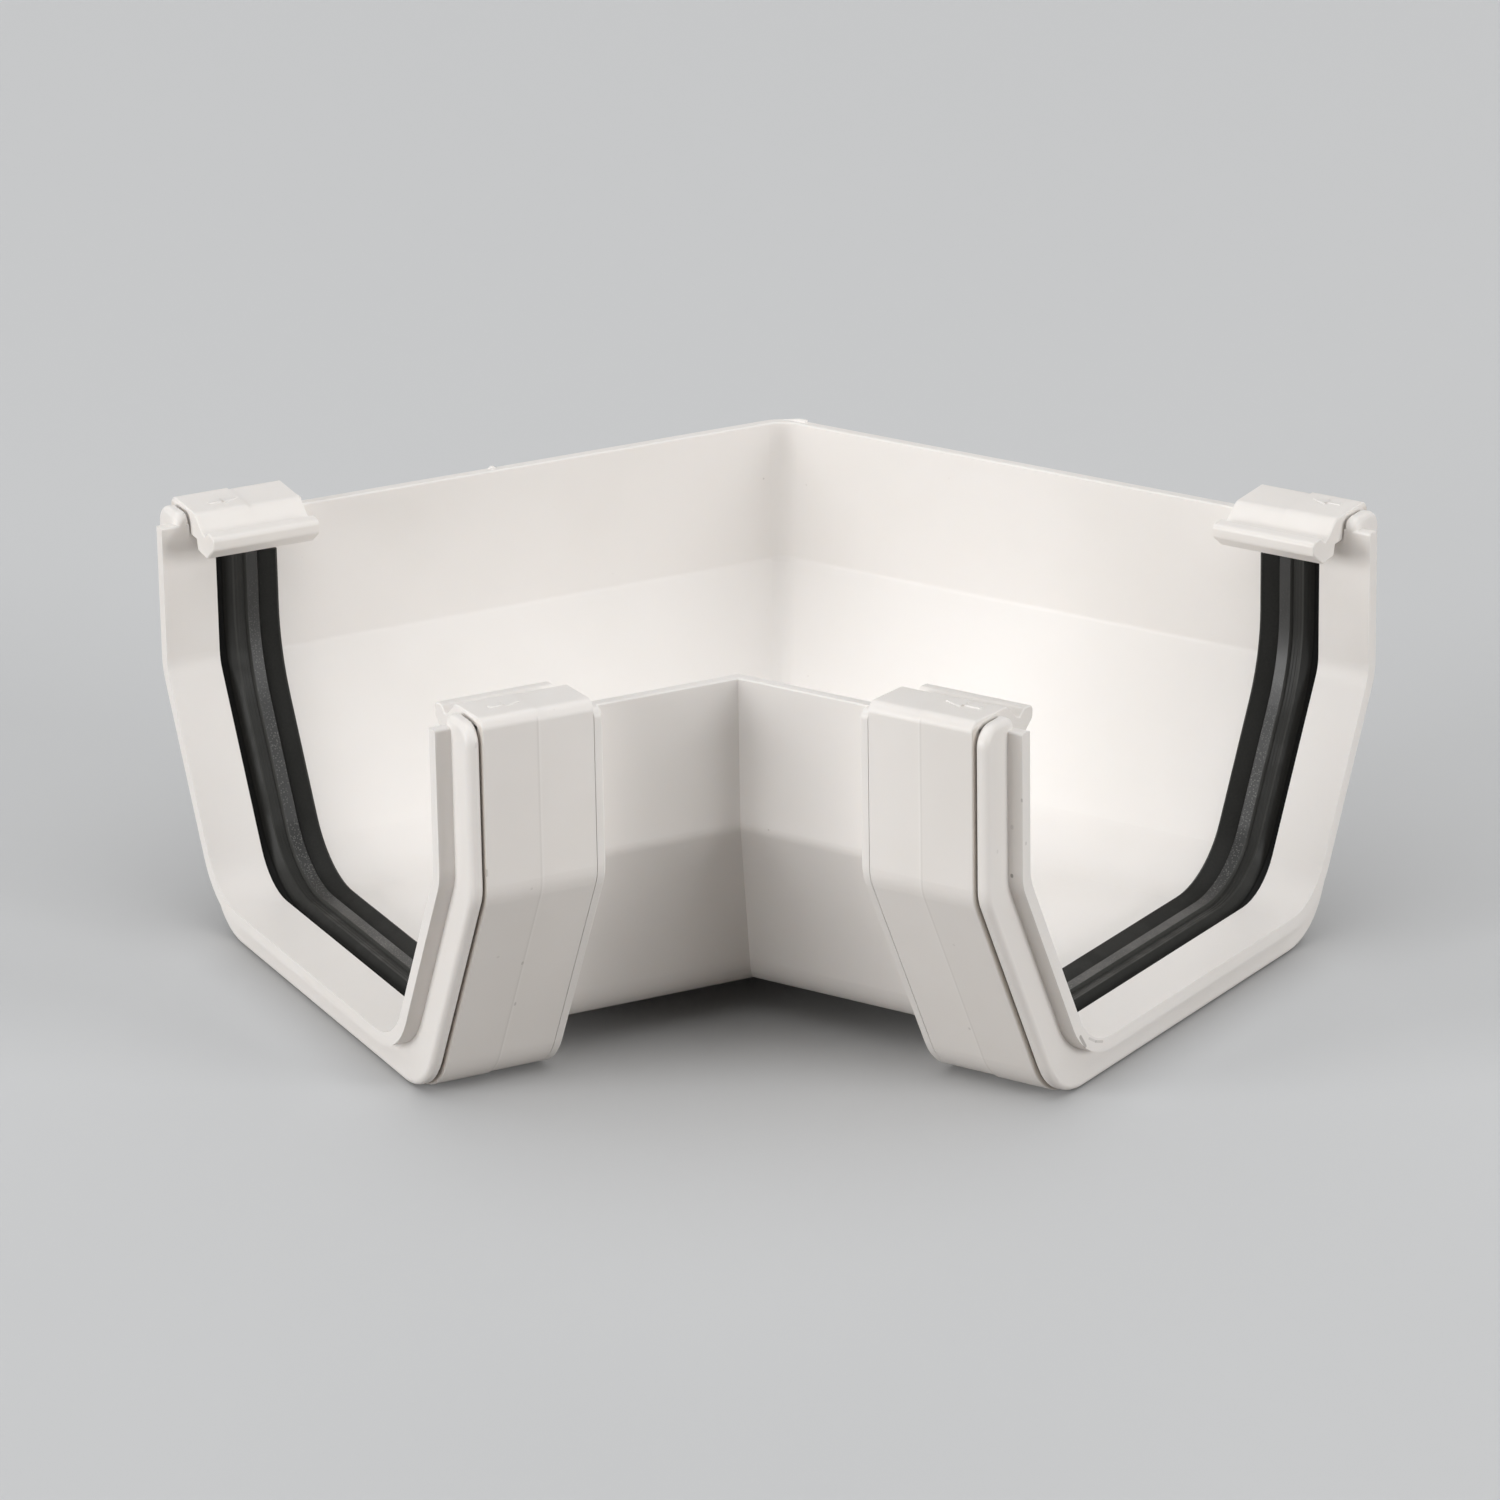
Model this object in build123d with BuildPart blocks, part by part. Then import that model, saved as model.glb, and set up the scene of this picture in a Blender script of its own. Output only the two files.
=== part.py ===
# Gutter angle for square-section rainwater gutter: two sockets that meet at a mitred corner.
# Each socket holds a ribbed rubber seal in a recess and is wrapped by a strap with a snap clip
# at both ends. The straps' undersides lie at z = 0 and the inner corner points to -Y.
from build123d import *

import os
from math import cos, radians, sin, tan

os.makedirs("parts", exist_ok=True)

# The turn between the two runs, and the reach from the crossing of their centre lines to a mouth
turn_angle = 120
reach = 90.9

# The gutter that slides into each socket
gutter_width = 114
gutter_depth = 61
gutter_wall = 2
gutter_play = 0.5

# Seat section: upright walls, sloping lower walls and a flat floor
wall_slope = 27.2
knee_height = 37.45
knee_radius = 8
seat_radius = 12

# Moulded walls of the body, with the bore a little wider than the seat and a crisper knee
body_ease = 1.2
body_wall = 2.1
body_knee_radius = 2
rim_rise = 2.75
far_corner_radius = 5
rim_edge = 0.25

# Lip and flange at the mouth
lip_length = 2.9
lip_wall = 2.4
lip_rise = 3.05
lip_edge = 0.4
flange_thickness = 2.4
flange_inset = 0.33
flange_rise = 5.15
flange_edge = 1.1
flange_back_edge = 0.5
flange_shoulder = 3.5
flange_brow = 2

# Seal recess behind the seat, and the channel wall that closes it
seat_length = 10.2
seal_width = 11.6
seal_depth = 4.3
seal_drop = 3.85
seal_play = 0.1
seal_knee_radius = 36
seal_foot_radius = 18
channel_wall = 2.3
roof_gap = 0.15
roof_shoulder = 0.8

# Ribs of the seal, in order from its rear face, with heights above the seat face
rear_lip_rise = 1.2
rear_lip_fall = 0.3
rear_lip_width = 0.45
rear_slope_width = 2.95
rib_flank = 0.35
mid_rib_rise = 0.6
mid_rib_width = 2.15
band_width = 2.05
ridge_rise = 0.3
ridge_width = 0.25
groove_slope_width = 1.4
groove_slope_depth = 1.6
groove_depth = 2.4

# Strap round the channel, in two widths with a small step at the seam
strap_front_gap = 0.35
strap_length = 20.52
strap_wall = 2.25
strap_gap = 0.15
strap_edge = 0.2
seam_step = 0.2
front_half_length = 10.32
outer_radius = 13

# Rib behind the strap
rib_gap = 0.12
rib_thickness = 1.55
rib_inset = 0.2
rib_rise = 4.2
rib_shoulder = 1.6
rib_edge = 0.3

# Snap clip: its ledge presses on the gutter's top edge and its hook drops inside the gutter
ledge_play = 0.9
ledge_width = 2.5
clip_rise = 5.15
clip_sheet = 2
clip_shoulder = 1.9
ramp_rise = 1.4
ramp_lean = 0.5
ramp_run = 2.3
brow_reach = 11
brow_fall = 0.55
brow_radius = 2.5
brow_run = 2.9
brow_drop = 2.6
shelf_run = 1.2
shelf_fall = 0.55
shelf_radius = 0.8
groove_radius = 0.5
bead_flank = 1.4
bead_rise = 1.2
bead_width = 2.75
bead_fall = 0.3
bead_height = 2.3
bead_lean = 0.1
bead_radius = 0.9
hook_play = 0.4
hook_lean = 0.5
hook_drop = 2.4
hook_tilt = 0.4
hook_width = 4
hook_radius = 0.6

# Offsets outwards from the seat face
seat_half = gutter_width / 2 + gutter_play
body_outer = body_ease + body_wall
channel_outer = seal_depth + channel_wall
strap_inner = channel_outer + strap_gap
strap_outer = strap_inner + strap_wall
flange_outer = strap_outer - flange_inset
rib_outer = strap_outer - rib_inset

# Distances from the crossing along a run
flange_front = reach - lip_length
flange_back = flange_front - flange_thickness
strap_front = flange_back - strap_front_gap
strap_back = strap_front - strap_length
seam = strap_front - front_half_length
rib_front = strap_back - rib_gap
rib_back = rib_front - rib_thickness
recess_front = reach - seat_length
recess_back = recess_front - seal_width
channel_front = recess_front + channel_wall
channel_back = recess_back - channel_wall

# Heights above the seat floor, which the strap's underside carries at z = 0
floor_height = strap_outer
rim_height = gutter_depth + rim_rise
lip_height = gutter_depth + lip_rise
rib_height = gutter_depth + rib_rise
flange_height = gutter_depth + flange_rise
seal_height = gutter_depth - seal_drop
ledge = gutter_depth + ledge_play
clip_top = ledge + clip_rise
roof = clip_top - clip_sheet - roof_gap
above = max(clip_top, rib_height, rim_height) + clip_sheet

# Offsets along a clip's underside, from the hook inside the gutter to the ramp over the wall
hook = -(gutter_play + gutter_wall + hook_play)
ledge_toe = hook + hook_lean
ledge_heel = ledge_toe + ledge_width
ramp_foot = ledge_heel + ramp_lean
ramp_top = ramp_foot + ramp_run

# The origin is under the middle of the whole part
half_turn = radians(turn_angle / 2)
far_outer_radius = far_corner_radius + body_wall
far_reach = (seat_half + body_outer) / sin(half_turn) - far_outer_radius * (1 / sin(half_turn) - 1)
near_reach = (
    cos(half_turn) * (flange_front - flange_edge)
    + sin(half_turn) * (seat_half + flange_outer - flange_edge)
    + flange_edge
)
crossing = (near_reach - far_reach) / 2


def run_plane(distance):
    """Section plane across the right-hand run, facing its mouth, with its origin on the seat floor."""
    return Plane(
        origin=(distance * sin(half_turn), crossing - distance * cos(half_turn), floor_height),
        x_dir=(cos(half_turn), sin(half_turn), 0),
        z_dir=(sin(half_turn), -cos(half_turn), 0),
    )


def bends(offset, bottom_radius, upper_radius=knee_radius):
    """Knee and foot of the section at an offset from the seat face, as (side, height, radius)."""
    half = seat_half + offset
    knee = knee_height - offset * tan(radians(wall_slope / 2))
    foot = half - (knee + offset) * tan(radians(wall_slope))
    return [(half, knee, upper_radius), (foot, -offset, bottom_radius)]


def mirrored(corners):
    """The same corners on the other side of the section."""
    return [(-side, height, radius) for side, height, radius in corners]


def outline(plane, corners):
    """Closed face through corners given as (side, height, radius)."""
    points = [(side, height) for side, height, radius in corners]
    radii = [radius for side, height, radius in corners]
    with BuildSketch(plane) as face:
        with BuildLine():
            FilletPolyline(*points, radius=radii, close=True)
        make_face()
    return face.sketch


def filled_section(plane, face, height):
    """Trough section filled up to a height, inside a face given as the values that bends takes."""
    half = seat_half + face[0]
    right = [(half, height, 0)] + bends(*face)
    return outline(plane, right + mirrored(reversed(right)))


def wall_section(plane, inner, outer, tip):
    """U-shaped wall between two faces, each given as the values that bends takes.

    The tip lists the corners of the wall's top from its outer to its inner face,
    as (offset, height, radius).
    """
    top = [(seat_half + offset, height, radius) for offset, height, radius in tip]
    right = top + bends(*inner)
    outside = bends(*outer)
    return outline(plane, right + mirrored(reversed(right)) + mirrored(outside) + outside[::-1])


def angle_block(face, height, length, corner_radius):
    """Both runs as filled troughs, mitred at the middle, with the far corner rounded."""
    overrun = 1
    start = -(seat_half + face[0]) / tan(half_turn) - overrun
    with BuildPart() as block:
        extrude(filled_section(run_plane(start), face, height), amount=length - start)
        split(bisect_by=Plane.YZ, keep=Keep.TOP)
        mirror(about=Plane.YZ)
        mitre = block.edges().filter_by_position(Axis.X, -0.01, 0.01).filter_by(Plane.YZ)
        far = mitre.filter_by_position(Axis.Y, crossing + seat_half / 4, crossing + 2 * seat_half)
        fillet(far, corner_radius)
    return block.part


def run_axis():
    """Axis along the right-hand run towards its mouth."""
    return Axis((0, crossing, 0), (sin(half_turn), -cos(half_turn), 0))


def end_faces(part):
    """Rear and front faces of a piece across the right-hand run."""
    return part.faces().sort_by(run_axis())[0], part.faces().sort_by(run_axis())[-1]


def socket():
    """Mouth of the right-hand run: flange, rib, lip, seat and the channel with its seal recess."""
    seat = (0, seat_radius)
    with BuildPart() as part:
        # Flange that stands above the lip, rounded in front and bevelled behind
        flange_tip = [(flange_outer, flange_height, flange_shoulder), (0, flange_height, flange_brow)]
        flange = wall_section(run_plane(flange_back), seat, (flange_outer, outer_radius), flange_tip)
        extrude(flange, amount=flange_thickness)
        fillet(end_faces(part)[1].edges(), flange_edge)
        chamfer(end_faces(part)[0].edges(), flange_back_edge)

        # Rib behind the strap, which stands above the rim
        rib_tip = [(rib_outer, rib_height, rib_shoulder), (body_ease, rib_height, 0)]
        rib = wall_section(run_plane(rib_back), bore_face, (rib_outer, outer_radius), rib_tip)
        extrude(rib, amount=rib_thickness)
        chamfer(end_faces(part)[0].edges(), rib_edge)

        # Lip and seat
        lip_tip = [(lip_wall, lip_height, lip_edge), (0, lip_height, lip_edge)]
        lip = wall_section(run_plane(recess_front), seat, (lip_wall, seat_radius + lip_wall), lip_tip)
        extrude(lip, amount=seat_length)

        # Channel round the seal
        channel_tip = [(channel_outer, roof, roof_shoulder), (0, roof, 0)]
        channel = wall_section(
            run_plane(channel_back), seat, (channel_outer, seat_radius + channel_outer), channel_tip
        )
        extrude(channel, amount=channel_front - channel_back)

        # Recess for the seal
        inside = -1
        recess_tip = [(seal_depth, seal_height, 0), (inside, seal_height, 0)]
        recess_floor = (seal_depth, seal_foot_radius + seal_depth, seal_knee_radius + seal_depth)
        recess = wall_section(
            run_plane(recess_back), (inside, seat_radius + inside), recess_floor, recess_tip
        )
        extrude(recess, amount=seal_width, mode=Mode.SUBTRACT)
    return part.part


def under_clip():
    """Underside of a clip from the strap's inner face over the wall to the ledge, as (offset, height)."""
    return [
        (strap_inner, clip_top - clip_sheet),
        (ramp_top, clip_top - clip_sheet),
        (ramp_foot, ledge + ramp_rise),
        (ledge_heel, ledge),
        (ledge_toe, ledge),
    ]


def clip_relief():
    """Room for the right-hand run's clips over the walls between rib and flange."""
    below = [(offset, height - roof_gap) for offset, height in under_clip()]
    start, end = below[0][0], below[-1][0]
    with BuildPart() as room:
        with BuildSketch(run_plane(rib_front)):
            for side in (1, -1):
                corners = [(start, above)] + below + [(end, above)]
                with BuildLine():
                    Polyline([(side * (seat_half + offset), height) for offset, height in corners], close=True)
                make_face()
        extrude(amount=flange_back - rib_front)
    return room.part


bore_face = (body_ease, seat_radius + body_ease, body_knee_radius)
outer_face = (body_outer, seat_radius + body_outer, body_knee_radius + body_wall)
outside = angle_block(outer_face, rim_height, recess_back, far_outer_radius)
bore = angle_block(bore_face, above, recess_back, far_corner_radius)
right_socket = socket()
relief = clip_relief()

with BuildPart() as angle_body:
    # Walls and floor of the two runs, with bevelled rims
    add(outside)
    add(bore, mode=Mode.SUBTRACT)
    rims = angle_body.faces().filter_by(Axis.Z).sort_by(Axis.Z)[-2:]
    chamfer(rims.edges().filter_by(lambda edge: edge.length > 2 * body_wall), rim_edge)

    # Sockets, open to the bore and with room for the clips
    add(right_socket)
    add(mirror(right_socket, about=Plane.YZ, mode=Mode.PRIVATE))
    add(bore, mode=Mode.SUBTRACT)
    add(relief, mode=Mode.SUBTRACT)
    add(mirror(relief, about=Plane.YZ, mode=Mode.PRIVATE), mode=Mode.SUBTRACT)
angle_body.part.label = "angle_body"
export_step(angle_body.part, "parts/angle_body.step")


def strap_section(distance, step):
    """Strap and its two clips; step takes the outer face and the top that far inwards."""
    top = clip_top - step
    brow = (strap_outer - brow_reach, clip_top - brow_fall)
    shelf = (brow[0] - brow_run, brow[1] - brow_drop)
    groove = (shelf[0] - shelf_run, shelf[1] - shelf_fall)
    bead = (groove[0] - bead_flank, groove[1] + bead_rise)
    nose = (bead[0] - bead_width, bead[1] - bead_fall)
    tip = [
        (strap_outer - step, top, clip_shoulder),
        (brow[0], brow[1] - step, brow_radius),
        (shelf[0], shelf[1], shelf_radius),
        (groove[0], groove[1], groove_radius),
        (bead[0], bead[1], bead_radius),
        (nose[0], nose[1], bead_radius),
        (nose[0] + bead_lean, nose[1] - bead_height, bead_radius),
        (hook - hook_width, ledge - hook_drop, hook_radius),
        (hook, ledge - hook_drop + hook_tilt, hook_radius),
    ]
    tip += [(offset, height, 0) for offset, height in reversed(under_clip())]
    inner = (strap_inner, outer_radius - strap_wall)
    outer = (strap_outer - step, outer_radius - step)
    return wall_section(run_plane(distance), inner, outer, tip)


with BuildPart() as right_strap:
    extrude(strap_section(strap_back, seam_step), amount=seam - strap_back)
    extrude(strap_section(seam, 0), amount=strap_front - seam)
    chamfer(end_faces(right_strap)[1].edges(), strap_edge)
right_strap.part.label = "right_strap"
export_step(right_strap.part, "parts/right_strap.step")

with BuildPart() as left_strap:
    mirror(right_strap.part, about=Plane.YZ)
left_strap.part.label = "left_strap"
export_step(left_strap.part, "parts/left_strap.step")


def seal_path():
    """Line of the seat face down one wall, across the floor and up the other."""
    right = [(seat_half, seal_height - seal_play, 0)] + bends(0, seal_foot_radius, seal_knee_radius)
    corners = right + mirrored(reversed(right))
    points = [(side, height) for side, height, radius in corners]
    radii = [radius for side, height, radius in corners[1:-1]]
    with BuildLine(run_plane(recess_back + seal_play)) as path:
        FilletPolyline(*points, radius=radii)
    return path.line


with BuildPart() as right_seal:
    width = seal_width - 2 * seal_play
    start = run_plane(recess_back + seal_play)
    top = start.from_local_coords((seat_half, seal_height - seal_play, 0))
    across = Plane(origin=top, x_dir=start.z_dir, z_dir=(0, 0, -1))
    slope_end = rear_lip_width + rear_slope_width
    mid_start = slope_end + rib_flank
    mid_end = mid_start + mid_rib_width
    band_start = mid_end + rib_flank
    ridge = band_start + band_width
    groove_start = ridge + ridge_width
    ribs = [
        (0, rear_lip_rise - rear_lip_fall),
        (rear_lip_width, rear_lip_rise),
        (slope_end, 0),
        (mid_start, mid_rib_rise),
        (mid_end, mid_rib_rise),
        (band_start, 0),
        (ridge, ridge_rise),
        (groove_start, ridge_rise),
        (groove_start + groove_slope_width, -groove_slope_depth),
        (width, -groove_depth),
    ]
    with BuildSketch(across):
        with BuildLine():
            Polyline(ribs + [(width, seal_play - seal_depth), (0, seal_play - seal_depth)], close=True)
        make_face()
    sweep(path=seal_path())
right_seal.part.label = "right_seal"
export_step(right_seal.part, "parts/right_seal.step")

with BuildPart() as left_seal:
    mirror(right_seal.part, about=Plane.YZ)
left_seal.part.label = "left_seal"
export_step(left_seal.part, "parts/left_seal.step")
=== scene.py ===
"""Looks of a gutter angle: white moulded plastic, charcoal rubber seals, a pale studio."""

from math import cos, radians, sin

import bmesh
import bpy
import numpy as np
from mathutils import Matrix, Vector


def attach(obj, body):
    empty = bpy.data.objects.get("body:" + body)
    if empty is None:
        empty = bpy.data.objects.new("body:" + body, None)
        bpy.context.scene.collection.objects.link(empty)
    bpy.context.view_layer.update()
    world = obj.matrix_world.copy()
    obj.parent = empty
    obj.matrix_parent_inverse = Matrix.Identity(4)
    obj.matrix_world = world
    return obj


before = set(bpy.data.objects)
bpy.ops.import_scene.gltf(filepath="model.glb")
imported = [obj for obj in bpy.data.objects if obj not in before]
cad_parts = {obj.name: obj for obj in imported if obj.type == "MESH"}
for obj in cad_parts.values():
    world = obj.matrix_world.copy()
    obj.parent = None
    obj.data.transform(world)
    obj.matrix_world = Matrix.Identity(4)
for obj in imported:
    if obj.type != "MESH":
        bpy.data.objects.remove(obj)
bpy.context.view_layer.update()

MM = 0.001
TURN = radians(360)

# Half the angle between the two runs, and how far behind the origin their centre lines cross, in mm
HALF_ANGLE = radians(60)
CROSSING = 15.897
# The body's far rim, in mm: its outer face's distance from the centre line, its outer corner's
# radius and its height
RIM_OUTER, RIM_RADIUS, RIM_TOP = 60.8, 7.1, 72.75
# A strap's outer face and the height of its top there, in mm, and the slope of that top
STRAP_OUTER, STRAP_TOP, STRAP_FALL = 66.5, 76.05, 0.05


# Shader nodes

def give(tree, made, inputs):
    """A node, with each input given a value or linked to an output."""
    for name, value in inputs.items():
        if isinstance(value, bpy.types.NodeSocket):
            tree.links.new(value, made.inputs[name])
        else:
            made.inputs[name].default_value = value
    return made


def add_node(tree, kind, inputs=None, **settings):
    """A new node with its settings and inputs."""
    made = tree.nodes.new(kind)
    for name, value in settings.items():
        setattr(made, name, value)
    return give(tree, made, inputs or {})


def maths(tree, operation, first, second=0.0, clamp=False):
    """Result of one Math node."""
    inputs = {0: first, 1: second}
    return add_node(tree, "ShaderNodeMath", inputs, operation=operation, use_clamp=clamp).outputs[0]


def vector_maths(tree, operation, first, second):
    """Outputs of one Vector Math node."""
    return add_node(tree, "ShaderNodeVectorMath", {0: first, 1: second}, operation=operation).outputs


def ramp(tree, value, low, high, to_low=0.0, to_high=1.0):
    """A value carried smoothly from one span to another."""
    inputs = {"Value": value, "From Min": low, "From Max": high, "To Min": to_low, "To Max": to_high}
    return add_node(tree, "ShaderNodeMapRange", inputs, interpolation_type="SMOOTHSTEP").outputs["Result"]


def mix_colour(tree, share, first, second):
    """Two colours mixed by a share."""
    return add_node(tree, "ShaderNodeMix", {0: share, 6: first, 7: second}, data_type="RGBA").outputs[2]


def noise(tree, position, scale, detail=2.0, roughness=0.5):
    """Soft noise; scale is repeats per metre."""
    inputs = {"Vector": position, "Scale": scale, "Detail": detail, "Roughness": roughness}
    return add_node(tree, "ShaderNodeTexNoise", inputs).outputs["Fac"]


def bump(tree, strength, distance, height):
    """A normal bent by a height, as deep as a distance in mm."""
    inputs = {"Strength": strength, "Distance": distance * MM, "Height": height}
    return add_node(tree, "ShaderNodeBump", inputs).outputs[0]


# Shader groups

def new_group(name, inputs, outputs):
    """An empty shader group with named inputs (name, kind, value) and outputs (name, kind)."""
    tree = bpy.data.node_groups.new(name, "ShaderNodeTree")
    for label, kind, value in inputs:
        socket = tree.interface.new_socket(label, in_out="INPUT", socket_type="NodeSocket" + kind)
        if value is not None:
            socket.default_value = value
    for label, kind in outputs:
        tree.interface.new_socket(label, in_out="OUTPUT", socket_type="NodeSocket" + kind)
    return tree, tree.nodes.new("NodeGroupInput").outputs, tree.nodes.new("NodeGroupOutput").inputs


def use_group(tree, group, inputs):
    """Outputs of a copy of a shader group in a tree."""
    made = tree.nodes.new("ShaderNodeGroup")
    made.node_tree = group
    return give(tree, made, inputs).outputs


def moulded_skin_group():
    """Soft clouds of tone, fine grain and a slightly uneven height, as on moulded plastic."""
    inputs = [("Position", "Vector", None), ("Cloud Scale", "Float", 22.0), ("Grain Scale", "Float", 1500.0)]
    outputs = [("Tone", "Float"), ("Grain", "Float"), ("Height", "Float")]
    tree, given, put = new_group("moulded_skin", inputs, outputs)
    clouds = noise(tree, given["Position"], given["Cloud Scale"], detail=3.0, roughness=0.55)
    grain = noise(tree, given["Position"], given["Grain Scale"], detail=2.0, roughness=0.6)
    peel_scale = maths(tree, "MULTIPLY", given["Grain Scale"], 0.22)
    peel = noise(tree, given["Position"], peel_scale, detail=1.0, roughness=0.4)
    tree.links.new(ramp(tree, clouds, 0.36, 0.64), put["Tone"])
    tree.links.new(grain, put["Grain"])
    tree.links.new(maths(tree, "ADD", peel, maths(tree, "MULTIPLY", grain, 0.25)), put["Height"])
    return tree


def specks_group():
    """Scattered specks: the cores of random cells, kept where a wide noise is high."""
    inputs = [("Position", "Vector", None), ("Scale", "Float", 320.0),
              ("Size", "Float", 0.12), ("Amount", "Float", 0.5)]
    edge, patches_per_metre = 0.05, 30.0
    tree, given, put = new_group("specks", inputs, [("Mask", "Float")])
    cells = add_node(tree, "ShaderNodeTexVoronoi", {"Vector": given["Position"], "Scale": given["Scale"]})
    core = ramp(tree, maths(tree, "SUBTRACT", given["Size"], cells.outputs["Distance"]), 0.0, edge)
    chosen = maths(tree, "GREATER_THAN", given["Amount"], cells.outputs["Color"])
    patchy = ramp(tree, noise(tree, given["Position"], patches_per_metre), 0.4, 0.6)
    specks = maths(tree, "MULTIPLY", core, chosen)
    tree.links.new(maths(tree, "MULTIPLY", specks, patchy), put["Mask"])
    return tree


def stroke_group():
    """A soft stroke from one point to another: full within half the width, gone at the whole width."""
    inputs = [("Position", "Vector", None), ("Start", "Vector", (0, 0, 0)),
              ("End", "Vector", (0, 0, 0)), ("Width", "Float", 0.001)]
    tree, given, put = new_group("stroke", inputs, [("Mask", "Float")])
    gone = vector_maths(tree, "SUBTRACT", given["Position"], given["Start"])
    along = vector_maths(tree, "SUBTRACT", given["End"], given["Start"])
    length = vector_maths(tree, "DOT_PRODUCT", along["Vector"], along["Vector"])["Value"]
    share = vector_maths(tree, "DOT_PRODUCT", gone["Vector"], along["Vector"])["Value"]
    share = maths(tree, "DIVIDE", share, length, clamp=True)
    part_way = {0: along["Vector"], "Scale": share}
    reached = add_node(tree, "ShaderNodeVectorMath", part_way, operation="SCALE").outputs
    away = vector_maths(tree, "DISTANCE", gone["Vector"], reached["Vector"])["Value"]
    widths = maths(tree, "DIVIDE", away, given["Width"])
    tree.links.new(ramp(tree, widths, 0.5, 1.0, 1.0, 0.0), put["Mask"])
    return tree


# Where Outside changes, in mm: heights at the knee, distances across the run, and heights at the clips' tops
KNEE_HEIGHTS = (50.0, 54.0)
OUTER_DISTANCES = (64.4, 65.6)
CLIP_TOP_HEIGHTS = (74.4, 75.2)


def run_distance_group():
    """Where a point lies on a run, in mm, the same on both runs.

    Distance is along the run from the crossing of the centre lines, and Outside goes from 0 to 1 as a point
    above the knee nears the outer faces; it is 1 everywhere below the knee and 0 on the clips' tops.
    """
    outputs = [("Distance", "Float"), ("Outside", "Float")]
    tree, given, put = new_group("run_distance", [("Position", "Vector", None)], outputs)
    parts = add_node(tree, "ShaderNodeSeparateXYZ", {0: given["Position"]}).outputs
    sideways = maths(tree, "DIVIDE", maths(tree, "ABSOLUTE", parts["X"]), MM)
    forward = maths(tree, "SUBTRACT", CROSSING, maths(tree, "DIVIDE", parts["Y"], MM))
    height = maths(tree, "DIVIDE", parts["Z"], MM)
    along = [maths(tree, "MULTIPLY", sideways, sin(HALF_ANGLE)),
             maths(tree, "MULTIPLY", forward, cos(HALF_ANGLE))]
    across = [maths(tree, "MULTIPLY", forward, sin(HALF_ANGLE)),
              maths(tree, "MULTIPLY", sideways, cos(HALF_ANGLE))]
    tree.links.new(maths(tree, "ADD", *along), put["Distance"])
    away = maths(tree, "ABSOLUTE", maths(tree, "SUBTRACT", *across))
    above_knee = ramp(tree, height, *KNEE_HEIGHTS)
    inner = maths(tree, "MULTIPLY", above_knee, ramp(tree, away, *OUTER_DISTANCES, 1.0, 0.0))
    hidden = maths(tree, "MAXIMUM", inner, ramp(tree, height, *CLIP_TOP_HEIGHTS))
    tree.links.new(maths(tree, "SUBTRACT", 1.0, hidden), put["Outside"])
    return tree


SKIN, SPECKS, STROKE, RUN = moulded_skin_group(), specks_group(), stroke_group(), run_distance_group()


# Materials

def new_material(name):
    """A material, its tree and its shader's inputs."""
    material = bpy.data.materials.new(name)
    material.use_nodes = True
    tree = material.node_tree
    return material, tree, tree.nodes["Principled BSDF"].inputs


def object_position(tree):
    """Positions on the object, in metres."""
    return add_node(tree, "ShaderNodeTexCoord").outputs["Object"]


def band(tree, distance, start, end, blur=0.12):
    """1 between two distances along the run, in mm, and 0 beyond them."""
    rise = ramp(tree, distance, start - blur, start + blur)
    return maths(tree, "MULTIPLY", rise, ramp(tree, distance, end - blur, end + blur, 1.0, 0.0))


def banded(tree, colour, distance, bands, where=1.0):
    """A colour crossed by bands of other tones, as far as a mask lets them show."""
    for start, end, share, tone in bands:
        inside = maths(tree, "MULTIPLY", band(tree, distance, start, end), where)
        colour = mix_colour(tree, maths(tree, "MULTIPLY", inside, share), colour, (*tone, 1))
    return colour


GRIME = (0.16, 0.14, 0.12, 1)
DUST = (0.32, 0.29, 0.25, 1)


def white_plastic(name, light, shade, roughness, strokes, bands=()):
    """White moulded plastic with clouds of tone, dust specks, dirty strokes and bands across the runs, which
    on the straps include painted highlight and shade.
    """
    material, tree, shader = new_material(name)
    position = object_position(tree)
    skin = use_group(tree, SKIN, {"Position": position})
    colour = mix_colour(tree, skin["Tone"], (*shade, 1), (*light, 1))
    dust = use_group(tree, SPECKS, {"Position": position, "Scale": 260.0, "Size": 0.07, "Amount": 0.2})
    colour = mix_colour(tree, maths(tree, "MULTIPLY", dust["Mask"], 0.35), colour, DUST)
    for start, end, width, share in strokes:
        ends = {"Start": Vector(start) * MM, "End": Vector(end) * MM, "Width": width * MM}
        mark = use_group(tree, STROKE, {"Position": position, **ends})
        colour = mix_colour(tree, maths(tree, "MULTIPLY", mark["Mask"], share), colour, GRIME)
    if bands:
        place = use_group(tree, RUN, {"Position": position})
        colour = banded(tree, colour, place["Distance"], bands, place["Outside"])
    tree.links.new(colour, shader["Base Color"])
    rough = ramp(tree, skin["Grain"], 0.3, 0.7, roughness - 0.04, roughness + 0.05)
    tree.links.new(rough, shader["Roughness"])
    tree.links.new(bump(tree, 0.12, 0.03, skin["Height"]), shader["Normal"])
    shader["IOR"].default_value = 1.53
    shader["Subsurface Weight"].default_value = 0.12
    shader["Subsurface Radius"].default_value = (1.0, 0.85, 0.7)
    shader["Subsurface Scale"].default_value = 1.5 * MM
    return material


# The seal's crown and its fine lines, in mm along the run, and the pitch of those lines
SEAL_CROWN = (72.95, 75.1)
SEAL_LINES = (75.5, 77.5)
SEAL_LINE_PITCH = 0.68
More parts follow.
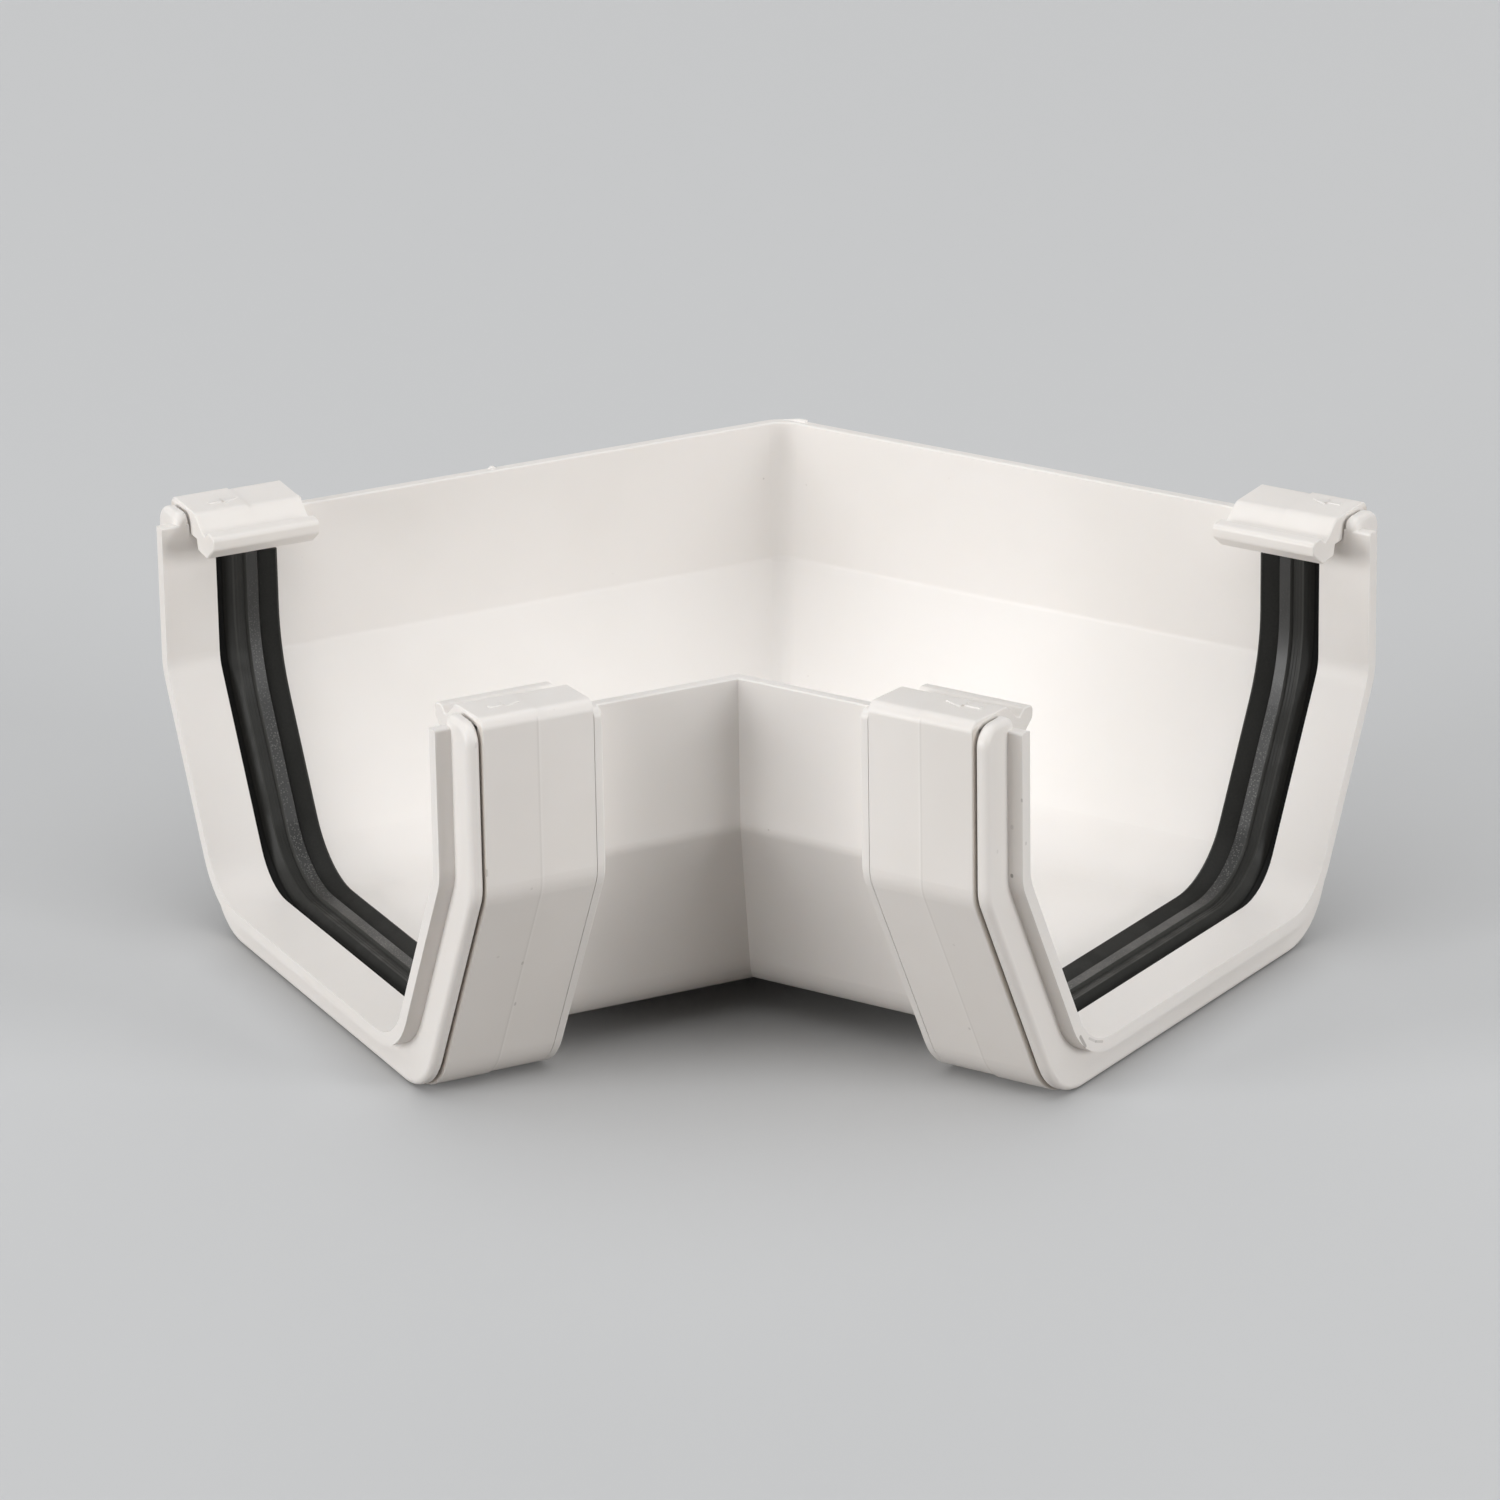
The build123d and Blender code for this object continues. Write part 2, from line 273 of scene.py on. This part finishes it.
# Bands across a run, two of them painted shade and one a painted highlight: start and end in mm along it,
# share of the tone, and the tone
SEAL_TONES_AND_PAINTED_LIGHT = [
    # painted shade along the rear edge, behind the crown
    (72.55, 72.95, 0.7, (0.006, 0.006, 0.005)),
    (*SEAL_CROWN, 0.9, (0.009, 0.009, 0.008)),
    (75.05, 75.55, 0.8, (0.040, 0.040, 0.036)),
    (*SEAL_LINES, 0.8, (0.022, 0.022, 0.020)),
    # painted highlight along the front ridge
    (77.45, 77.8, 0.9, (0.036, 0.036, 0.033)),
    (77.85, 78.6, 0.6, (0.026, 0.026, 0.024)),
    # painted shade down in the front groove
    (79.0, 80.7, 0.95, (0.0012, 0.0012, 0.001)),
]
RUBBER_DARK = (0.011, 0.011, 0.010, 1)
RUBBER_LIGHT = (0.022, 0.022, 0.020, 1)
RUBBER_SPECK = (0.09, 0.09, 0.083, 1)


def seal_rubber():
    """Charcoal rubber: painted shade in the front groove and behind the crown, a painted highlight on the
    ridge, fine lines along the strip and a speckled crown on the middle rib.
    """
    material, tree, shader = new_material("seal_rubber")
    position = object_position(tree)
    distance = use_group(tree, RUN, {"Position": position})["Distance"]
    skin = use_group(tree, SKIN, {"Position": position, "Cloud Scale": 120.0, "Grain Scale": 2600.0})
    colour = mix_colour(tree, skin["Grain"], RUBBER_DARK, RUBBER_LIGHT)
    colour = banded(tree, colour, distance, SEAL_TONES_AND_PAINTED_LIGHT)
    crown = band(tree, distance, *SEAL_CROWN)
    tree.links.new(maths(tree, "MULTIPLY", crown, 0.75), shader["Coat Weight"])
    shader["Coat Roughness"].default_value = 0.4
    shader["Specular IOR Level"].default_value = 0.2
    specks = use_group(tree, SPECKS, {"Position": position, "Scale": 2600.0, "Size": 0.34, "Amount": 0.8})
    colour = mix_colour(tree, maths(tree, "MULTIPLY", crown, specks["Mask"]), colour, RUBBER_SPECK)
    tree.links.new(colour, shader["Base Color"])
    lines = maths(tree, "SINE", maths(tree, "MULTIPLY", distance, TURN / SEAL_LINE_PITCH))
    lines = maths(tree, "MULTIPLY", lines, band(tree, distance, *SEAL_LINES))
    tree.links.new(ramp(tree, skin["Tone"], 0.0, 1.0, 0.42, 0.56), shader["Roughness"])
    height = maths(tree, "ADD", lines, skin["Height"])
    tree.links.new(bump(tree, 0.35, 0.05, height), shader["Normal"])
    return material


# Dirty strokes and specks, in mm: start, end, width and share of the grime
BODY_STROKES = [
    ((57.98, -65.5, 12.3), (58.8, -64.05, 9.95), 0.45, 0.55),
    ((59.4, -63.0, 11.0), (60.5, -61.1, 9.65), 0.3, 0.22),
    ((60.5, -61.1, 9.65), (61.6, -59.2, 8.85), 0.3, 0.28),
    ((46.9, -80.3, 47.4), (46.9, -80.3, 47.6), 0.35, 0.6),
    ((-41.6, -84.4, 72.0), (-41.8, -84.4, 71.4), 0.35, 0.15),
    ((49.27, -80.56, 53.5), (49.27, -80.56, 53.3), 0.3, 0.25),
    ((44.6, -82.85, 52.9), (44.6, -82.85, 52.7), 0.35, 0.13),
    ((46.95, -80.38, 56.3), (46.95, -80.38, 56.1), 0.4, 0.15),
    ((48.62, -81.34, 61.5), (48.62, -81.34, 61.2), 0.25, 0.3),
]
STRAP_STROKES = [
    ((-33.48, -79.97, 44.4), (-33.1, -80.2, 44.4), 0.3, 0.16),
    ((-36.12, -71.9, 27.9), (-36.2, -71.8, 27.5), 0.3, 0.3),
    ((-38.07, -67.13, 18.5), (-38.07, -67.13, 17.9), 0.3, 0.3),
    ((-39.89, -75.61, 30.2), (-39.5, -75.8, 30.2), 0.35, 0.15),
    ((-40.56, -84.18, 49.3), (-40.56, -84.18, 48.4), 0.3, 0.3),
    ((39.11, -64.9, 13.5), (39.11, -64.9, 13.3), 0.3, 0.25),
    ((36.96, -75.57, 33.1), (37.4, -75.3, 33.0), 0.3, 0.14),
]
# The seam between a strap's two widths: a painted highlight along the step and a fine line of painted shade
# just in front of it, a front width a little darker, and painted warm shade on its front end, in the gap by
# the flange
STRAP_BANDS_AND_PAINTED_LIGHT = [
    # painted highlight along the seam's step, then a fine line of painted shade in front of it
    (74.5, 74.9, 0.25, (0.93, 0.91, 0.89)),
    (74.95, 75.3, 0.16, (0.30, 0.28, 0.25)),
    (75.3, 86.0, 0.05, (0.30, 0.28, 0.26)),
    # painted warm shade on the strap's front end, in the gap by the flange
    (85.15, 86.0, 0.35, (0.42, 0.34, 0.25)),
]
BODY_PLASTIC = white_plastic(
    "body_plastic", light=(0.86, 0.832, 0.805), shade=(0.835, 0.806, 0.775), roughness=0.46,
    strokes=BODY_STROKES)
STRAP_PLASTIC = white_plastic(
    "strap_plastic", light=(0.865, 0.833, 0.803), shade=(0.835, 0.803, 0.768), roughness=0.44,
    strokes=STRAP_STROKES, bands=STRAP_BANDS_AND_PAINTED_LIGHT)
RUBBER = seal_rubber()

finishes = {
    "angle_body": BODY_PLASTIC,
    "left_strap": STRAP_PLASTIC,
    "right_strap": STRAP_PLASTIC,
    "left_seal": RUBBER,
    "right_seal": RUBBER,
}
for node_name, finish in finishes.items():
    node_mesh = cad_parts[node_name].data
    node_mesh.materials.clear()
    node_mesh.materials.append(finish)


# New pieces

# Points nearer than this, in mm, become one, which closes the ends of a piece
MERGE_DISTANCE = 1e-4


def surface(name, points, smooth=True):
    """A mesh from a grid of points, rows by columns by 3, in metres, whose columns close on themselves."""
    rows, columns = points.shape[:2]
    index = np.arange(rows * columns).reshape(rows, columns)
    index = np.hstack([index, index[:, :1]])
    corners = [index[:-1, :-1], index[:-1, 1:], index[1:, 1:], index[1:, :-1]]
    mesh = bpy.data.meshes.new(name)
    mesh.from_pydata(points.reshape(-1, 3), [], np.stack(corners, axis=-1).reshape(-1, 4).tolist())
    shape = bmesh.new()
    shape.from_mesh(mesh)
    bmesh.ops.remove_doubles(shape, verts=shape.verts, dist=MERGE_DISTANCE * MM)
    bmesh.ops.recalc_face_normals(shape, faces=shape.faces)
    shape.to_mesh(mesh)
    shape.free()
    mesh.polygons.foreach_set("use_smooth", np.full(len(mesh.polygons), smooth))
    made = bpy.data.objects.new(name, mesh)
    bpy.context.scene.collection.objects.link(made)
    return made


def add_piece(piece, material):
    """A new piece's material, and the body that it rides on."""
    piece.data.materials.append(material)
    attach(piece, "root")


def on_run(side, distance, across):
    """Points (x, y), in mm, at distances along a run from the crossing and across it to the inner corner."""
    x = side * (distance * sin(HALF_ANGLE) - across * cos(HALF_ANGLE))
    return np.stack([x, CROSSING - distance * cos(HALF_ANGLE) - across * sin(HALF_ANGLE)], axis=-1)


def rim_path(side, distance, inset):
    """Points along the far rim, an inset inside its outer face: straight, then round the corner's arc."""
    bend = (RIM_RADIUS - RIM_OUTER) * cos(HALF_ANGLE) / sin(HALF_ANGLE)
    straight = on_run(side, distance, inset - RIM_OUTER + 0 * distance)
    angle = radians(90) - HALF_ANGLE - (bend - distance) / RIM_RADIUS
    centre = CROSSING + (RIM_OUTER - RIM_RADIUS) / sin(HALF_ANGLE)
    reach = RIM_RADIUS - inset
    arc = np.stack([side * reach * np.sin(angle), centre + reach * np.cos(angle)], axis=-1)
    return np.where((distance < bend)[:, None], arc, straight)


# A ridge of flash: how far inside the rim's outer face its two edges lie, in mm, its steps and its sides
FLASH_OUTER, FLASH_INNER = 0.25, 1.15
FLASH_STEPS, FLASH_SIDES = 41, 12


def rim_flash(name, side, start, end, height, peak):
    """A low ridge of flash on the far rim.

    Along it the height rises as half a wave of a cosine to the peak, a share of the length, and falls again.
    Across it the section is an ellipse, whose lower half lies in the rim.
    """
    share = np.unique(np.append(np.linspace(0, 1, FLASH_STEPS), [peak, (1 + peak) / 2]))
    rise = np.where(share < peak, share / peak, (1 - share) / (1 - peak))
    size = (1 - np.cos(rise * TURN / 2)) / 2
    turn = np.linspace(0, TURN, FLASH_SIDES, endpoint=False)
    distance = start + (end - start) * share
    inner, outer = rim_path(side, distance, FLASH_INNER), rim_path(side, distance, FLASH_OUTER)
    middle, half = (inner + outer) / 2, (outer - inner) / 2
    ground = middle[:, None] + half[:, None] * (size[:, None] * np.cos(turn))[..., None]
    top = RIM_TOP + height * size[:, None] * np.sin(turn)
    ridge = surface(name, np.concatenate([ground, top[..., None]], axis=-1) * MM)
    add_piece(ridge, BODY_PLASTIC)


# An arrow: where its head starts as a share of its length, its shaft's width as a share of the
# head's, how deep its outline is sunk in the clip, in mm, and its top face's length and width as shares
HEAD_START, SHAFT_WIDTH = 0.48, 0.36
ARROW_SUNK = 0.03
ARROW_TOP_LENGTH, ARROW_TOP_WIDTH = 0.94, 0.80


def clip_top(offset):
    """Height of a clip's sloping top at an offset from the centre line, in mm."""
    return STRAP_TOP - (STRAP_OUTER - offset) * STRAP_FALL


def clip_arrow(name, side, row, start, end, middle, half_width, height):
    """A raised plain arrow on a clip's top: an outline sunk in the slope, and a smaller level face above it.

    It runs along the run from start to end, at its middle's distance from the centre line; row is 1 on the
    near clips and -1 on the far ones.
    """
    along = np.array([0, HEAD_START, HEAD_START, 1, HEAD_START, HEAD_START, 0])
    across = np.array([SHAFT_WIDTH, SHAFT_WIDTH, 1, 0, -1, -SHAFT_WIDTH, -SHAFT_WIDTH]) * half_width

    def ring(length, width):
        """The outline at shares of its length and width: offsets from the centre line, and points (x, y)."""
        distance = start + (end - start) * (0.5 + (along - 0.5) * length)
        offset = middle + across * width
        return offset, on_run(side, distance, row * offset)

    offset, places = ring(1.0, 1.0)
    outline = np.column_stack([places, clip_top(offset) - ARROW_SUNK])
    offset, places = ring(ARROW_TOP_LENGTH, ARROW_TOP_WIDTH)
    face = np.column_stack([places, 0 * offset + clip_top(middle) + height])
    layers = [outline.mean(axis=0) + 0 * outline, outline, face, face.mean(axis=0) + 0 * face]
    arrow = surface(name, np.stack(layers) * MM, smooth=False)
    add_piece(arrow, STRAP_PLASTIC)


rim_flash("flash_left", -1, 23.6, 25.85, 0.55, 0.55)
rim_flash("flash_corner", 1, -36.0, -29.25, 0.6, 0.96)
clip_arrow("arrow_far_right", 1, -1, 82.6, 76.6, 62.0, 1.4, 0.12)
clip_arrow("arrow_far_left", -1, -1, 81.0, 75.2, 59.4, 1.4, 0.16)
clip_arrow("arrow_near_left", -1, 1, 81.4, 75.6, 60.6, 1.3, 0.18)
clip_arrow("arrow_near_right", 1, 1, 82.5, 75.2, 58.9, 1.5, 0.24)


# The studio, in metres: rings of the flat floor, its radius, the radius of the bend that carries it
# up, and the wall's height above the bend
FLOOR_RINGS = (0, 0.02, 0.5, 1.5)
FLOOR_RADIUS, FLOOR_BEND, WALL_HEIGHT = 9.0, 4.5, 7.5
FLOOR_BEND_STEPS, FLOOR_SIDES = 16, 96
# The floor's paper as it is seen, and as it throws light on the part
PAPER_SEEN, PAPER_THROWN = (0.62, 0.63, 0.64, 1), (0.215, 0.20, 0.185, 1)
# The soft lamps: name, place and size in metres, power in watts, and whether shiny faces mirror it
LAMPS = [
    ("left_lamp", (-5.7, -2.7, 1.3), 2.7, 211.5, True),
    ("right_lamp", (5.7, -2.7, 1.3), 2.7, 196.2, True),
    ("low_left_lamp", (-4.5, -4.8, 0.85), 1.74, 66.6, True),
    ("back_lamp", (0.0, 6.0, 1.5), 2.8, 50.0, False),
]
LAMP_AIM = (0, 0, 0.04)
WORLD_LEVEL = 1.115


def studio_floor():
    """A round pale floor that curves up into a wall: flat to one radius, a quarter round, then upright."""
    turn = np.linspace(0, TURN / 4, FLOOR_BEND_STEPS)
    bend_reach, bend_height = FLOOR_BEND * np.sin(turn), FLOOR_BEND * (1 - np.cos(turn))
    reach = np.concatenate([FLOOR_RINGS, FLOOR_RADIUS + bend_reach, [FLOOR_RADIUS + FLOOR_BEND]])
    height = np.concatenate([np.zeros(len(FLOOR_RINGS)), bend_height, [FLOOR_BEND + WALL_HEIGHT]])
    angle = np.linspace(0, TURN, FLOOR_SIDES, endpoint=False)
    points = np.stack([np.outer(reach, np.cos(angle)), np.outer(reach, np.sin(angle)),
                       np.outer(height, np.ones(FLOOR_SIDES))], axis=-1)
    floor = surface("studio_floor", points)
    material, tree, shader = new_material("studio_paper")
    path = add_node(tree, "ShaderNodeLightPath").outputs
    mirrored = maths(tree, "ADD", path["Is Glossy Ray"], path["Is Transmission Ray"])
    seen = maths(tree, "ADD", path["Is Camera Ray"], mirrored, clamp=True)
    tree.links.new(mix_colour(tree, seen, PAPER_THROWN, PAPER_SEEN), shader["Base Color"])
    shader["Roughness"].default_value = 0.9
    floor.data.materials.append(material)


def camera():
    """The photograph's camera: its place in mm, its turn, dip and roll, and its focal length in pixels."""
    place = Vector((83.6, -1316.6, 536.75)) * MM
    yaw, dip, roll = radians(3.705), radians(20.66), radians(-0.956)
    focal, frame_width, sensor = 7981.0, 1500.0, 36.0
    level = Vector((cos(yaw), sin(yaw), 0))
    ahead = Vector((-sin(yaw) * cos(dip), cos(yaw) * cos(dip), -sin(dip)))
    above = level.cross(ahead)
    right = cos(roll) * level + sin(roll) * above
    up = cos(roll) * above - sin(roll) * level
    data = bpy.data.cameras.new("camera")
    data.sensor_width = sensor
    data.lens = sensor * focal / frame_width
    made = bpy.data.objects.new("camera", data)
    made.matrix_world = Matrix.Translation(place) @ Matrix((right, up, -ahead)).transposed().to_4x4()
    bpy.context.scene.collection.objects.link(made)
    bpy.context.scene.camera = made


def soft_lamp(name, place, size, power, mirrored):
    """A square soft lamp that looks at the object, and that shiny faces mirror or not."""
    data = bpy.data.lights.new(name, "AREA")
    data.shape = "SQUARE"
    data.size = size
    data.energy = power
    lamp = bpy.data.objects.new(name, data)
    lamp.location = place
    lamp.rotation_euler = (Vector(LAMP_AIM) - Vector(place)).to_track_quat("-Z", "Y").to_euler()
    lamp.visible_glossy = mirrored
    bpy.context.scene.collection.objects.link(lamp)


def world_light(strength):
    """Even white light from all round."""
    world = bpy.data.worlds.new("studio")
    world.use_nodes = True
    ground = world.node_tree.nodes["Background"].inputs
    ground["Color"].default_value = (1, 1, 1, 1)
    ground["Strength"].default_value = strength
    bpy.context.scene.world = world


studio_floor()
camera()
world_light(WORLD_LEVEL)
for lamp in LAMPS:
    soft_lamp(*lamp)

bpy.context.scene.view_settings.view_transform = "Standard"
